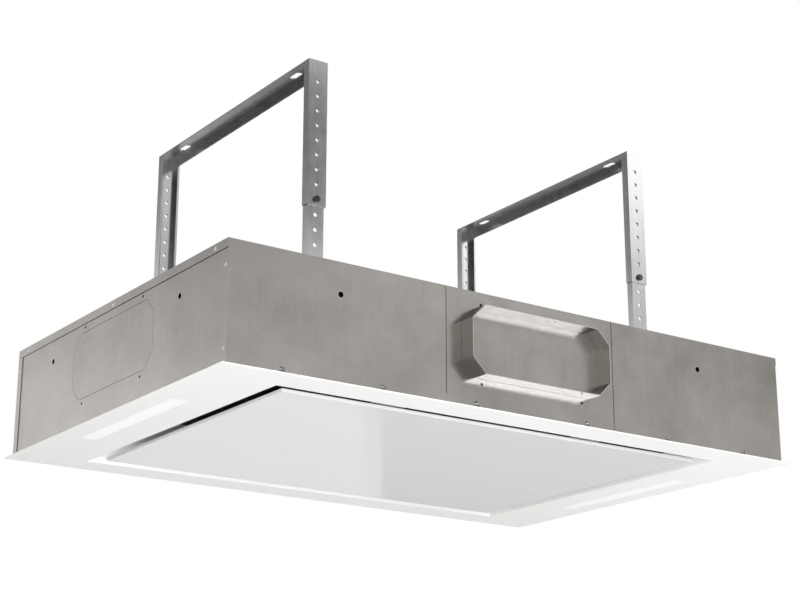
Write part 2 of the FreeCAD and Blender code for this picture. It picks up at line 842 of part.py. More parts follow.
def outlet_collar():
    """Eight-sided spigot with a flange behind the plate, spindle holes and flap stops."""
    front = -hy - collar_reach
    back = -hy + collar_tail
    flange_y = (-hy + sheet, -hy + 2 * sheet)
    whole = joined([outlet_prism(0, (front, back)), outlet_prism(collar_flange, flange_y)])
    whole = whole.cut(outlet_prism(-collar_wall, (front, back)))
    half = outlet_width / 2
    spindle = spindle_middle()
    hole = rod(spindle_radius + spindle_running_fit, spindle - AXIS_X * half, spindle + AXIS_X * half)
    stop_y = -hy + sheet + flap_stop_play
    floor = outlet_low + collar_wall
    stops = []
    for x in (-flap_stop_x, flap_stop_x):
        stop_x = (x - flap_stop_size, x + flap_stop_size)
        stops.append(block(stop_x, (stop_y, stop_y + sheet), (floor, floor + flap_stop_size)))
    cuts = collar_fixing_holes(on_front, AXIS_Y * 2 * sheet)
    return joined([whole] + stops).cut(Part.makeCompound(cuts + [hole]))


def spindle_middle():
    """Middle of the flap's spindle."""
    return Vector(0, -hy + spindle_behind_face, outlet_z + spindle_above_middle)


def damper_flap():
    """Flap that closes the collar, with two saddles over the spindle."""
    leaf = outlet_prism(-collar_wall - flap_clearance, (-hy, -hy + sheet))
    spindle = spindle_middle()
    reach = spindle_radius + saddle_wall
    saddles = []
    for x in (-saddle_x, saddle_x):
        span = (x - saddle_width / 2, x + saddle_width / 2)
        saddle_y = (-hy + sheet, spindle.y + reach)
        saddles.append(block(span, saddle_y, (spindle.z - reach, spindle.z + reach)))
    half = outlet_width / 2
    hole = rod(spindle_radius + pressed_fit, spindle - AXIS_X * half, spindle + AXIS_X * half)
    return joined([leaf] + saddles).cut(hole)


def damper_spindle():
    """Round bar that carries the flap in the collar's side walls."""
    reach = AXIS_X * (outlet_width / 2 + spindle_end)
    return rod(spindle_radius, spindle_middle() - reach, spindle_middle() + reach)


# Blower

def scroll_outline(grow):
    """Volute seen from above: three growing quarter arcs and the throat, grown all round."""
    radii = [scroll_base + scroll_growth * k + grow for k in range(3)]
    half = scroll_growth / 2
    centres = [
        Vector(fan_x + half, fan_y + half, 0),
        Vector(fan_x - half, fan_y + half, 0),
        Vector(fan_x - half, fan_y - half, 0),
    ]
    mouth_right = Vector(mouth_half, mouth_y, 0)
    tongue = Vector(fan_x + half, fan_y + half - scroll_base, 0)
    wall = tongue - mouth_right
    corner = mouth_right + Vector(wall.y, -wall.x, 0) * (grow / wall.Length)
    to_centre = corner - centres[0]
    middle = to_centre.dot(wall) / wall.dot(wall)
    spread = middle**2 - (to_centre.dot(to_centre) - radii[0] ** 2) / wall.dot(wall)
    start = corner + wall * (-middle - math.sqrt(spread))
    first_angle = math.atan2(start.y - centres[0].y, start.x - centres[0].x)
    turns = [(first_angle, 0), (0, math.pi / 2), (math.pi / 2, math.pi)]
    edges = []
    for centre, radius, (low, high) in zip(centres, radii, turns):
        angles = (low, (low + high) / 2, high)
        arc = [centre + Vector(math.cos(a), math.sin(a), 0) * radius for a in angles]
        edges.append(Part.Arc(*arc).toShape())
    end = centres[2] - AXIS_X * radii[2]
    base_right = corner - wall * ((corner.y - mouth_y) / wall.y)
    corners = [end, Vector(end.x, mouth_y, 0), base_right, start]
    edges += [Part.makeLine(a, b) for a, b in zip(corners, corners[1:])]
    return Part.Face(Part.Wire(edges))


def scroll_slab(grow, z):
    """The volute's outline as a solid between two heights."""
    face = scroll_outline(grow)
    face.translate(Vector(0, 0, z[0]))
    return face.extrude(Vector(0, 0, z[1] - z[0]))


def scroll_band():
    """Wrapped side wall of the scroll, open at the mouth."""
    z = (outlet_low, outlet_high)
    return scroll_slab(sheet, z).cut(scroll_slab(0, z))


def scroll_top_plate():
    """Upper plate of the scroll with the motor hole."""
    plate = scroll_slab(scroll_flange, (outlet_high, scroll_top))
    radius = motor_radius + motor_hole_play
    return plate.cut(rod(radius, Vector(fan_x, fan_y, outlet_high), Vector(fan_x, fan_y, scroll_top)))


def scroll_bottom_plate():
    """Lower plate of the scroll with the inlet hole."""
    z = (outlet_low - sheet, outlet_low)
    plate = scroll_slab(scroll_flange, z)
    radius = inlet_radius + sheet
    return plate.cut(rod(radius, Vector(fan_x, fan_y, z[0]), Vector(fan_x, fan_y, z[1])))


def inlet_ring():
    """Inlet mouth below the scroll with a lip that stands up inside it."""
    flange_high = outlet_low - sheet
    flange_z = (flange_high - sheet, flange_high)
    flange = tube(inlet_radius + inlet_flange, inlet_radius, fan_x, fan_y, flange_z)
    lip_z = (flange_high, flange_high + inlet_lip_height)
    return joined([flange, tube(inlet_radius + sheet, inlet_radius, fan_x, fan_y, lip_z)])


def impeller_blade():
    """One forward-curved blade at the start of the ring."""
    spots = [
        (blade_inner_radius, 0),
        ((blade_inner_radius + impeller_radius) / 2, blade_sweep_degrees / 2 - blade_bulge_degrees),
        (impeller_radius, blade_sweep_degrees),
    ]
    width = math.degrees(blade_thickness / impeller_radius)
    sides = []
    for extra in (0, width):
        angles = [(radius, math.radians(angle + extra)) for radius, angle in spots]
        sides.append([Vector(r * math.cos(a), r * math.sin(a), impeller_low) for r, a in angles])
    near, far = sides
    edges = [
        Part.Arc(*near).toShape(),
        Part.makeLine(near[2], far[2]),
        Part.Arc(*far[::-1]).toShape(),
        Part.makeLine(far[0], near[0]),
    ]
    return Part.Face(Part.Wire(edges)).extrude(Vector(0, 0, impeller_high - impeller_low))


def impeller():
    """Bladed wheel with a cup round the motor and a hub on its shaft."""
    disc = tube(impeller_radius, cup_radius, 0, 0, (impeller_high - impeller_disc, impeller_high))
    cup = tube(cup_radius + cup_wall, cup_radius, 0, 0, (cup_floor - impeller_disc, impeller_high))
    bore = shaft_radius + pressed_fit
    floor = tube(cup_radius + cup_wall, bore, 0, 0, (cup_floor - impeller_disc, cup_floor))
    hub = tube(hub_radius, bore, 0, 0, (cup_floor - hub_length, cup_floor))
    ring_z = (impeller_low, impeller_low + impeller_disc)
    low_ring = tube(impeller_radius, front_ring_inner_radius, 0, 0, ring_z)
    blade = impeller_blade()
    blades = []
    for k in range(blade_count):
        copy = blade.copy()
        copy.rotate(Vector(0, 0, 0), AXIS_Z, 360 / blade_count * k)
        blades.append(copy)
    wheel = joined([disc, cup, floor, hub, low_ring] + blades)
    wheel.translate(Vector(fan_x, fan_y, 0))
    return wheel


def motor_shaft():
    """Shaft from the hub up into the motor."""
    low = Vector(fan_x, fan_y, cup_floor - hub_length)
    return rod(shaft_radius, low, Vector(fan_x, fan_y, motor_low + shaft_depth_in_motor))


def motor_body():
    """Motor hanging from the scroll's upper plate, with its cap and cable entry."""
    flange_z = (scroll_top, scroll_top + motor_flange_thickness)
    cap_top = flange_z[1] + motor_cap_height
    low = Vector(fan_x, fan_y, motor_low)
    seat = Vector(fan_x, fan_y, flange_z[0])
    flange_top = Vector(fan_x, fan_y, flange_z[1])
    can = rod(motor_radius, low, flange_top)
    flange = rod(motor_radius + motor_flange_margin, seat, flange_top)
    cap = rod(motor_cap_radius, flange_top, Vector(fan_x, fan_y, cap_top))
    entry = block(
        (fan_x - motor_cap_radius - motor_entry, fan_x),
        (fan_y - motor_entry, fan_y + motor_entry),
        (flange_z[1], cap_top),
    )
    hole_top = Vector(fan_x, fan_y, motor_low + shaft_depth_in_motor + shaft_running_fit)
    return joined([can, flange, cap, entry]).cut(rod(shaft_radius + shaft_running_fit, low, hole_top))


def blower_buffers():
    """Rubber buffers between the scroll and the top cover."""
    buffers = []
    for x, y in buffer_places:
        post = rod(buffer_radius, Vector(x, y, scroll_top), Vector(x, y, cover_under))
        hole = rod(stud_radius + screw_fit, Vector(x, y, cover_under - stud_depth), Vector(x, y, cover_under))
        buffers.append(post.cut(hole))
    return buffers


def blower_screws():
    """Hexagon screws through the top cover into the buffers."""
    head = hexagon(bolt_head_flats, (0, bolt_head_height))
    screw = joined([head, rod(stud_radius, Vector(0, 0, -sheet - stud_depth), Vector(0, 0, 0))])
    return [aimed(screw, Vector(x, y, box_height), AXIS_Z) for x, y in buffer_places]


# Electrical box

def control_shell(wall, z):
    """Block on the electrical box's plan, set in by a wall."""
    half_x = control_width / 2 - wall
    half_y = control_length / 2 - wall
    return block((control_x - half_x, control_x + half_x), (control_y - half_y, control_y + half_y), z)


def board_corners():
    """Places of the board's standoffs."""
    dx = board_width / 2 - standoff_inset
    dy = board_length / 2 - standoff_inset
    middle = control_y + board_offset
    return [(control_x + sx * dx, middle + sy * dy) for sx in (-1, 1) for sy in (-1, 1)]


def control_box():
    """Box under the top cover, open below, with standoffs and the gland hole."""
    ceiling = cover_under - control_wall
    room = control_shell(control_wall, (control_low, ceiling))
    shell = control_shell(0, (control_low, cover_under)).cut(room)
    posts = []
    for x, y in board_corners():
        posts.append(rod(standoff_radius, Vector(x, y, board_top), Vector(x, y, ceiling)))
    radius = gland_thread_radius + gland_hole_play
    hole = rod(radius, Vector(control_x, gland_y, ceiling), Vector(control_x, gland_y, cover_under))
    return joined([shell] + posts).cut(hole)


def control_board():
    """Circuit board under the standoffs."""
    middle = control_y + board_offset
    return block(
        (control_x - board_width / 2, control_x + board_width / 2),
        (middle - board_length / 2, middle + board_length / 2),
        (board_low, board_top),
    )


def terminal_block():
    """Row of screw terminals at one edge of the board."""
    x = control_x + board_width / 2 - terminal_width
    y = control_y + board_offset
    body = block(
        (x, x + terminal_width),
        (y - terminal_length / 2, y + terminal_length / 2),
        (board_low - terminal_height, board_low),
    )
    pitch = terminal_length / terminal_ways
    z = board_low - terminal_height / 2
    holes = []
    for k in range(terminal_ways):
        way = y - terminal_length / 2 + (k + 0.5) * pitch
        holes.append(rod(terminal_hole_radius, Vector(x, way, z), Vector(x + terminal_width, way, z)))
    return body.cut(Part.makeCompound(holes))


def run_capacitor():
    """Motor capacitor standing on the board."""
    x = control_x - board_width / 2 + capacitor_radius
    y = control_y + board_offset
    return rod(capacitor_radius, Vector(x, y, board_low - capacitor_height), Vector(x, y, board_low))


def cable_gland():
    """Gland through the top cover for the mains lead."""
    ceiling = cover_under - control_wall
    thread = rod(gland_thread_radius, Vector(0, 0, ceiling - gland_tail), Vector(0, 0, box_height))
    hex_top = box_height + gland_hex_height
    body = hexagon(gland_hex, (box_height, hex_top))
    cone = Part.makeCone(gland_hex / 2, gland_dome_top_radius, gland_dome_height, Vector(0, 0, hex_top))
    top = Vector(0, 0, hex_top + gland_dome_height)
    bore = rod(gland_bore_radius, Vector(0, 0, ceiling - gland_tail), top)
    gland = joined([thread, body, cone]).cut(bore)
    gland.translate(Vector(control_x, gland_y, 0))
    return gland


def cable(points):
    """Round cable along straight runs with an arc at each turn."""
    edges = []
    last = points[0]
    for before, corner, after in zip(points, points[1:], points[2:]):
        run_in = (corner - before).normalize()
        run_out = (after - corner).normalize()
        turn = run_in.getAngle(run_out)
        cut = cable_bend_share * min((corner - before).Length, (after - corner).Length)
        bend = cut / math.tan(turn / 2)
        start = corner - run_in * cut
        end = corner + run_out * cut
        inward = (run_out - run_in).normalize()
        middle = corner + inward * (bend / math.cos(turn / 2) - bend)
        edges.append(Part.makeLine(last, start))
        edges.append(Part.Arc(start, middle, end).toShape())
        last = end
    edges.append(Part.makeLine(last, points[-1]))
    path = Part.Wire(edges)
    profile = Part.Wire(Part.makeCircle(cable_radius, points[0], points[1] - points[0]))
    return path.makePipeShell([profile], True, False)


def motor_cable():
    """Lead from the electrical box to the motor's cap, above the scroll."""
    z = scroll_top + motor_flange_thickness + motor_cap_height / 2
    start_x = control_x + control_width / 2
    end_x = fan_x - motor_cap_radius - motor_entry
    turn = (end_x - start_x) / 3
    y = control_y - control_length / 4
    points = [(start_x, y), (start_x + turn, y), (end_x - turn, fan_y), (end_x, fan_y)]
    return cable([Vector(*point, z) for point in points])


def lamp_cables():
    """Leads from the electrical box down to the two lamp housings."""
    z = control_low + control_wall + cable_from_wall
    front_y = control_y - control_length / 2
    drop_y = front_y - 3 * cable_from_wall
    left = [
        Vector(-lamp_x, front_y, z),
        Vector(-lamp_x, drop_y, z),
        Vector(-lamp_x, drop_y, lamp_housing_height),
    ]
    start_x = control_x + control_width / 2
    start_y = control_y + control_length / 4
    wall_y = hy - return_depth - cable_from_wall
    right = [
        Vector(start_x, start_y, z),
        Vector(start_x + 4 * cable_from_wall, start_y, z),
        Vector(start_x + 12 * cable_from_wall, wall_y, z),
        Vector(lamp_x - 4 * cable_from_wall, wall_y, z),
        Vector(lamp_x, start_y, z),
        Vector(lamp_x, lamp_length / 3, z),
        Vector(lamp_x, lamp_length / 3, lamp_housing_height),
    ]
    return [cable(left), cable(right)]


# Hangers

def hanger_yoke():
    """Right-hand yoke: two perforated channel legs and a slotted, ribbed crossbar, one bent strip."""
    half = yoke_width / 2
    x = (hanger_x - half, hanger_x + half)
    leg_z = (yoke_low, yoke_top)
    legs = []
    for side in (-1, 1):
        web = sorted((side * yoke_half_span, side * (yoke_half_span - yoke_sheet)))
        fold = sorted((side * yoke_half_span, side * (yoke_half_span - yoke_flange)))
        legs.append(block(x, web, leg_z))
        legs.append(block((x[0], x[0] + yoke_sheet), fold, leg_z))
        legs.append(block((x[1] - yoke_sheet, x[1]), fold, leg_z))
    across = (-yoke_half_span, yoke_half_span)
    bar = block(x, across, (yoke_top - yoke_sheet, yoke_top))
    rib = block((x[1] - yoke_sheet, x[1]), across, (yoke_top - yoke_flange, yoke_top))
    cuts = [
        rod(hanger_hole_radius, Vector(hanger_x, -yoke_half_span, z), Vector(hanger_x, yoke_half_span, z))
        for z in hole_heights
    ]
    straight = (slot_length - slot_width) / 2
    slot_z = (yoke_top - yoke_sheet, yoke_top)
    side = slot_width / 2
    for y in (-slot_half_spacing, slot_half_spacing):
        ends = (y - straight, y + straight)
        cuts.append(block((hanger_x - side, hanger_x + side), ends, slot_z))
        for end in ends:
            cuts.append(rod(side, Vector(hanger_x, end, slot_z[0]), Vector(hanger_x, end, slot_z[1])))
    return joined(legs + [bar, rib]).cut(joined(cuts))


def hanger_leg():
    """Front right leg: perforated channel on a foot bolted to the top cover."""
    half = leg_width / 2
    x = (hanger_x - half, hanger_x + half)
    web_y = -leg_half_span
    z = (box_height, leg_top)
    web = block(x, (web_y, web_y + yoke_sheet), z)
    folds = [
        block((x[0], x[0] + yoke_sheet), (web_y, web_y + leg_flange), z),
        block((x[1] - yoke_sheet, x[1]), (web_y, web_y + leg_flange), z),
    ]
    foot = block(x, (web_y, web_y + foot_length), (box_height, box_height + yoke_sheet))
    count = int((hole_heights[0] - box_height - leg_lowest_hole) / hole_pitch) + 1
    cuts = []
    for k in range(count):
        start = Vector(hanger_x, web_y, hole_heights[0] - hole_pitch * k)
        cuts.append(rod(hanger_hole_radius, start, start + AXIS_Y * yoke_sheet))
    for bolt_x, bolt_y in foot_bolt_places:
        if bolt_x > 0 and bolt_y < 0:
            start = Vector(bolt_x, bolt_y, box_height)
            cuts.append(rod(hanger_hole_radius, start, start + AXIS_Z * yoke_sheet))
    return joined([web, foot] + folds).cut(Part.makeCompound(cuts))


def yoke_bolts():
    """Bolts and nuts that hold the right-hand yoke on its legs."""
    grip = 2 * (yoke_sheet + leg_play)
    head_seat = Vector(hanger_x, -yoke_half_span, bolt_height)
    front = [aimed(piece, head_seat, -AXIS_Y) for piece in hex_bolt(grip)]
    return front + [flipped(piece, AXIS_Y) for piece in front]


def foot_bolts():
    """Bolts and nuts that hold the leg feet on the top cover."""
    bolts = []
    for x, y in foot_bolt_places:
        seat = Vector(x, y, box_height + yoke_sheet)
        bolts += [aimed(piece, seat, AXIS_Z) for piece in hex_bolt(yoke_sheet + sheet)]
    return bolts


def write_pair(node, right):
    """Save a right-hand piece and its mirror image."""
    write(node + "_right", *right)
    write(node + "_left", *[flipped(shape, AXIS_X) for shape in right])


def write_both_sides(node, right):
    """Save a right-hand piece and its mirror image together, as one group."""
    write(node, right, flipped(right, AXIS_X))


os.makedirs("parts", exist_ok=True)

write("front_wall_left", front_wall())
write("front_wall_right", flipped(front_wall(), AXIS_X))
write("front_outlet_plate", outlet_plate())
write("rear_wall_left", rear_wall())
write("rear_wall_right", flipped(rear_wall(), AXIS_X))
write("rear_access_plate", access_plate())
write("side_wall_left", side_wall())
write("side_wall_right", flipped(side_wall(), AXIS_X))
write("top_cover", top_cover())
write("rivets", *all_rivets())

write("ceiling_trim_frame", trim_frame())
write("trim_screws", *trim_screws())

write("suction_panel", suction_panel())
write("panel_tray", panel_tray())
write_both_sides("panel_hinge_arms", hinge_arm())
write_both_sides("hinge_brackets", hinge_bracket())
write_both_sides("hinge_pins", hinge_pin())
write_both_sides("magnet_catches", magnet_catch())

write("filter_deck", filter_deck())
write_pair("filter_frame", [filter_frame()])
write_pair("filter_mesh", filter_mesh())
write_pair("filter_latch", [filter_latch()])

write_pair("lamp_lens", [lamp_lens()])
write_pair("lamp_housing", [lamp_housing()])
write_pair("lamp_board", [lamp_board()])

write("outlet_collar", outlet_collar())
write("damper_flap", damper_flap())
write("damper_spindle", damper_spindle())

write("scroll_band", scroll_band())
write("scroll_top_plate", scroll_top_plate())
write("scroll_bottom_plate", scroll_bottom_plate())
write("inlet_ring", inlet_ring())
write("impeller", impeller())
write("motor_shaft", motor_shaft())
write("motor_body", motor_body())
write("blower_buffers", *blower_buffers())
write("blower_screws", *blower_screws())

write("control_box", control_box())
write("control_box_lid", control_shell(0, (control_low - control_wall, control_low)))
write("control_board", control_board())
write("terminal_block", terminal_block())
write("run_capacitor", run_capacitor())
write("cable_gland", cable_gland())
write("motor_cable", motor_cable())
write("lamp_cables", *lamp_cables())

write("hanger_yoke_right", hanger_yoke())
write("hanger_yoke_left", hanger_yoke().translated(-AXIS_X * 2 * hanger_x))
write_pair("hanger_leg_front", [hanger_leg()])
write_pair("hanger_leg_rear", [flipped(hanger_leg(), AXIS_Y)])
write_pair("yoke_bolts", yoke_bolts())
write("foot_bolts", *foot_bolts())
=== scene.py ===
# %% [markdown]
# # A ceiling range hood, dressed for its portrait
# The hood was built piece by piece as solids, in millimetres. Here those pieces come in as
# meshes in metres, and get their edges, their finishes, light and a camera. The solids stay the
# measure of everything: nothing is moved, and the box round the finished hood has to stay the
# box round the solids.

# %% Load the solids
import json
import math

import bmesh
import bpy
from mathutils import Matrix, Vector


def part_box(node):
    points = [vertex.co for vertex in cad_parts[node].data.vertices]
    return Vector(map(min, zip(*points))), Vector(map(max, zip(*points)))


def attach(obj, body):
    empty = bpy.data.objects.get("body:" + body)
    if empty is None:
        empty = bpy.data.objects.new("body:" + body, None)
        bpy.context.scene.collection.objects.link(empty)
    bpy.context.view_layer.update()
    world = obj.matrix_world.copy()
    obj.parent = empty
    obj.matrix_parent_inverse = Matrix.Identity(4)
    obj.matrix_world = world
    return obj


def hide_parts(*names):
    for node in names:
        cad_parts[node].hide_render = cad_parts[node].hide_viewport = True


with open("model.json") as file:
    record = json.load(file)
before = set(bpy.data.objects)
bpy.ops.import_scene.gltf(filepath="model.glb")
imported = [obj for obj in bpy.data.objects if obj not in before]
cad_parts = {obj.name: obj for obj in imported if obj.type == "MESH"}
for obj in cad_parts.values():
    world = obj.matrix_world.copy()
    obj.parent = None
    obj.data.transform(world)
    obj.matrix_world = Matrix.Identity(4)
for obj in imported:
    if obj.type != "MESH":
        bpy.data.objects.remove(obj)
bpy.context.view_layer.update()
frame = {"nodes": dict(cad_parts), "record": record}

scene = bpy.context.scene
nodes = frame["nodes"]
slot_of = {part["node"]: part["material_slot"] for part in frame["record"]["subparts"]}
body_of = {
    node: name
    for name, members in frame["record"]["behaviour"]["bodies"].items()
    for node in members
}

# %% [markdown]
# ## Small tools for materials
# Every finish below is a Principled shader with a few texture nodes in front of it. One function
# turns the hex colours of a paint chart into the linear numbers that shaders work with, one adds a
# node with its settings and links, and one starts a new finish. A pattern's scale is written as
# the size in millimetres that one of its marks has on the real surface: a noise texture draws
# about one mark per unit, so its scale in a scene in metres is a thousand over that size.

# %% Colour, node and finish helpers
def linear(code):
    channels = [int(code[k:k + 2], 16) / 255 for k in (1, 3, 5)]
    return [c / 12.92 if c <= 0.04045 else ((c + 0.055) / 1.055) ** 2.4 for c in channels] + [1]


def per_mm(size):
    return 1000 / size


def add(tree, kind, sockets, **settings):
    made = tree.nodes.new(kind)
    for name, value in settings.items():
        setattr(made, name, value)
    for name, value in sockets.items():
        if isinstance(value, bpy.types.NodeSocket):
            tree.links.new(value, made.inputs[name])
        else:
            made.inputs[name].default_value = value
    return made


def new_finish(name, **sockets):
    material = bpy.data.materials.new(name)
    material.use_nodes = True
    tree = material.node_tree
    tree.nodes.clear()
    shader = add(tree, "ShaderNodeBsdfPrincipled", sockets)
    add(tree, "ShaderNodeOutputMaterial", {"Surface": shader.outputs["BSDF"]})
    place = add(tree, "ShaderNodeTexCoord", {}).outputs["Object"]
    return material, tree, shader, place


finishes = {}
print("white card is", [round(c, 3) for c in linear("#F2F2F2")])

# %% [markdown]
# ## Box sheet
# The box is folded from stainless steel sheet with a satin finish: the mill leaves a fine grain
# along one direction, and hands and rollers leave faint cloudy patches. The eye sees blurred
# reflections that are drawn out a little, a slow change of grey, and thin streaks. The streaks of
# a real sheet are a few hundredths of a millimetre apart. They are drawn about one millimetre
# wide here, because finer ones would vanish between two pixels.
# A sheet is never quite flat either, so a very wide, very low bump lets the reflections waver.
# The walls, the flat cover and the collar share this finish and differ in the way the grain runs.
# The collar is of a paler sheet, and the sheet inside the box is galvanised and duller.

# %% Satin stainless sheet
def satin_sheet(name, streak_mm, dark, light, rough):
    material, tree, shader, place = new_finish(name, Metallic=1.0)
    cloud = add(tree, "ShaderNodeTexNoise", {"Vector": place, "Scale": per_mm(130), "Detail": 6.0,
                                             "Roughness": 0.58})
    stretched = add(tree, "ShaderNodeMapping",
                    {"Vector": place, "Scale": [per_mm(size) for size in streak_mm]})
    streak = add(tree, "ShaderNodeTexNoise", {"Vector": stretched.outputs[0], "Scale": 1.0,
                                              "Detail": 3.0, "Roughness": 0.6})
    marks = add(tree, "ShaderNodeMix", {"Factor": 0.15, "A": cloud.outputs["Fac"],
                                        "B": streak.outputs["Fac"]})
    tone = add(tree, "ShaderNodeMapRange", {"Value": marks.outputs["Result"], "From Min": 0.34,
                                            "From Max": 0.66})
    colour = add(tree, "ShaderNodeMix", {"Factor": tone.outputs["Result"], "A": linear(dark),
                                         "B": linear(light)}, data_type="RGBA")
    gloss = add(tree, "ShaderNodeMapRange", {"Value": marks.outputs["Result"], "From Min": 0.3,
                                             "From Max": 0.7, "To Min": rough - 0.04,
                                             "To Max": rough + 0.05})
    sag = add(tree, "ShaderNodeTexNoise", {"Vector": place, "Scale": per_mm(110), "Detail": 1.0})
    wavy = add(tree, "ShaderNodeBump", {"Height": sag.outputs["Fac"], "Strength": 1.0,
                                        "Distance": 0.0006})
    grain = add(tree, "ShaderNodeBump", {"Height": streak.outputs["Fac"], "Strength": 0.2,
                                         "Distance": 0.00003, "Normal": wavy.outputs["Normal"]})
    tree.links.new(colour.outputs["Result"], shader.inputs["Base Color"])
    tree.links.new(gloss.outputs["Result"], shader.inputs["Roughness"])
    tree.links.new(grain.outputs["Normal"], shader.inputs["Normal"])
    return material


wall_sheet = satin_sheet("satin_stainless_wall", (1.1, 1.1, 90), "#928E8A", "#A8A4A0", 0.24)
flat_sheet = satin_sheet("satin_stainless_flat", (120, 1.1, 120), "#928E8A", "#A8A4A0", 0.24)
collar_sheet = satin_sheet("satin_stainless_collar", (90, 1.1, 1.1), "#A6A29E", "#C0BCB8", 0.24)
inner_sheet = satin_sheet("galvanised_inner_sheet", (60, 1.4, 60), "#9FA0A0", "#B4B5B5", 0.38)
finishes["box_steel"] = wall_sheet
finishes["inner_steel"] = inner_sheet
print("sheet finishes", wall_sheet.name, flat_sheet.name, collar_sheet.name, inner_sheet.name)

# %% [markdown]
# ## Plated and anodised metals
# The hangers are punched from steel strip that was zinc plated on the coil. It is paler and bluer
# than the stainless box, a little frosty, with soft streaks along the strip where the rolls ran.
# Bolts get a thinner bright zinc, the ones that lock the yokes are blackened, and the trim screws
# are nickel plated, smooth enough to show small sharp highlights. The filters are aluminium in a
# dark matt grey, which is painted shade: it stands in for the shade above the panel, so that the
# air gap there reads as black.

# %% Plated metals
def plated(name, dark, light, rough, patch_mm, streak_mm):
    material, tree, shader, place = new_finish(name, Metallic=1.0)
    stretched = add(tree, "ShaderNodeMapping",
                    {"Vector": place, "Scale": [per_mm(size) for size in streak_mm]})
    patch = add(tree, "ShaderNodeTexNoise", {"Vector": place, "Scale": per_mm(patch_mm),
                                             "Detail": 4.0, "Roughness": 0.6})
    streak = add(tree, "ShaderNodeTexNoise", {"Vector": stretched.outputs[0], "Scale": 1.0,
                                              "Detail": 2.0})
    marks = add(tree, "ShaderNodeMix", {"Factor": 0.5, "A": patch.outputs["Fac"],
                                        "B": streak.outputs["Fac"]})
    tone = add(tree, "ShaderNodeMapRange", {"Value": marks.outputs["Result"], "From Min": 0.35,
                                            "From Max": 0.65})
    colour = add(tree, "ShaderNodeMix", {"Factor": tone.outputs["Result"], "A": linear(dark),
                                         "B": linear(light)}, data_type="RGBA")
    gloss = add(tree, "ShaderNodeMapRange", {"Value": marks.outputs["Result"], "From Min": 0.3,
                                             "From Max": 0.7, "To Min": rough - 0.02,
                                             "To Max": rough + 0.03})
    frost = add(tree, "ShaderNodeBump", {"Height": patch.outputs["Fac"], "Strength": 0.4,
                                         "Distance": 0.00001})
    tree.links.new(colour.outputs["Result"], shader.inputs["Base Color"])
    tree.links.new(gloss.outputs["Result"], shader.inputs["Roughness"])
    tree.links.new(frost.outputs["Normal"], shader.inputs["Normal"])
    return material


finishes["hanger_zinc"] = plated("coil_zinc_strip", "#B9BABA", "#C6C7C7", 0.22, 25, (6, 6, 90))
finishes["zinc"] = plated("bright_zinc_bolts", "#A9AAA9", "#C6C6C2", 0.25, 3, (2, 2, 8))
finishes["bolt_dark"] = plated("black_oxide_bolts", "#343435", "#5E5E5F", 0.30, 3, (2, 2, 8))
finishes["screw_chrome"] = plated("nickel_plated_screws", "#8E8F90", "#A6A7A8", 0.14, 4, (3, 3, 6))
finishes["rivet_aluminium"] = plated("aluminium_rivets", "#C0C1C1", "#D6D7D7", 0.30, 3, (2, 2, 6))
# The filters' dark matt grey is painted shade, for the shade that falls above the panel.
finishes["filter_aluminium"] = plated("filter_aluminium_painted_shade", "#3E3F41", "#525355", 0.40, 12,
                                      (40, 2, 40))
finishes["motor_aluminium"] = plated("die_cast_aluminium", "#8B8D8F", "#A2A4A5", 0.50, 2,
                                     (5, 5, 5))
print("plated metals", sorted(finishes))

# %% [markdown]
# ## White paint
# The trim frame is powder coated: the powder melts into a smooth white skin with a faint
# orange-peel ripple. A real ripple is two millimetres across, it is drawn nine wide here because
# finer ones fall between two pixels. The panel is wet lacquered and polished, so it
# mirrors the room sharply, with only a slow waver. Dust and handling change the gloss a little.

# %% Powder coat and lacquer
def white_paint(name, shade, edge, rough, peel_mm, peel_depth):
    material, tree, shader, place = new_finish(name, IOR=1.5)
    haze = add(tree, "ShaderNodeTexNoise", {"Vector": place, "Scale": per_mm(60), "Detail": 3.0})
    colour = add(tree, "ShaderNodeMix", {"Factor": haze.outputs["Fac"], "A": linear(shade),
                                         "B": linear(edge)}, data_type="RGBA")
    gloss = add(tree, "ShaderNodeMapRange", {"Value": haze.outputs["Fac"], "From Min": 0.3,
                                             "From Max": 0.7, "To Min": rough,
                                             "To Max": rough * 1.35})
    peel = add(tree, "ShaderNodeTexNoise", {"Vector": place, "Scale": per_mm(peel_mm),
                                            "Detail": 1.0})
    ripple = add(tree, "ShaderNodeBump", {"Height": peel.outputs["Fac"], "Strength": 0.5,
                                          "Distance": peel_depth})
    tree.links.new(colour.outputs["Result"], shader.inputs["Base Color"])
    tree.links.new(gloss.outputs["Result"], shader.inputs["Roughness"])
    tree.links.new(ripple.outputs["Normal"], shader.inputs["Normal"])
    return material


finishes["white_enamel"] = white_paint("white_powder_coat", "#F0F0EF", "#F3F3F2", 0.45, 9,
                                       0.000008)
finishes["white_gloss"] = white_paint("white_polished_lacquer", "#D0D0D0", "#D3D3D3", 0.05, 45,
                                      0.00002)
print("paints", finishes["white_enamel"].name, finishes["white_gloss"].name)

# %% [markdown]
# ## Plastics, rubber and boards
# The lens is opal acrylic, which scatters the light of the strip behind it, so it glows faintly
# all over. The other plastics are moulded ABS and nylon with a fine spark-eroded texture, and the
# leads have a rubber jacket. Moulded surfaces are alike: a fine grain in bump, and a gloss that
# changes slowly. A printed board has a solder resist, with copper tracks that show through it.

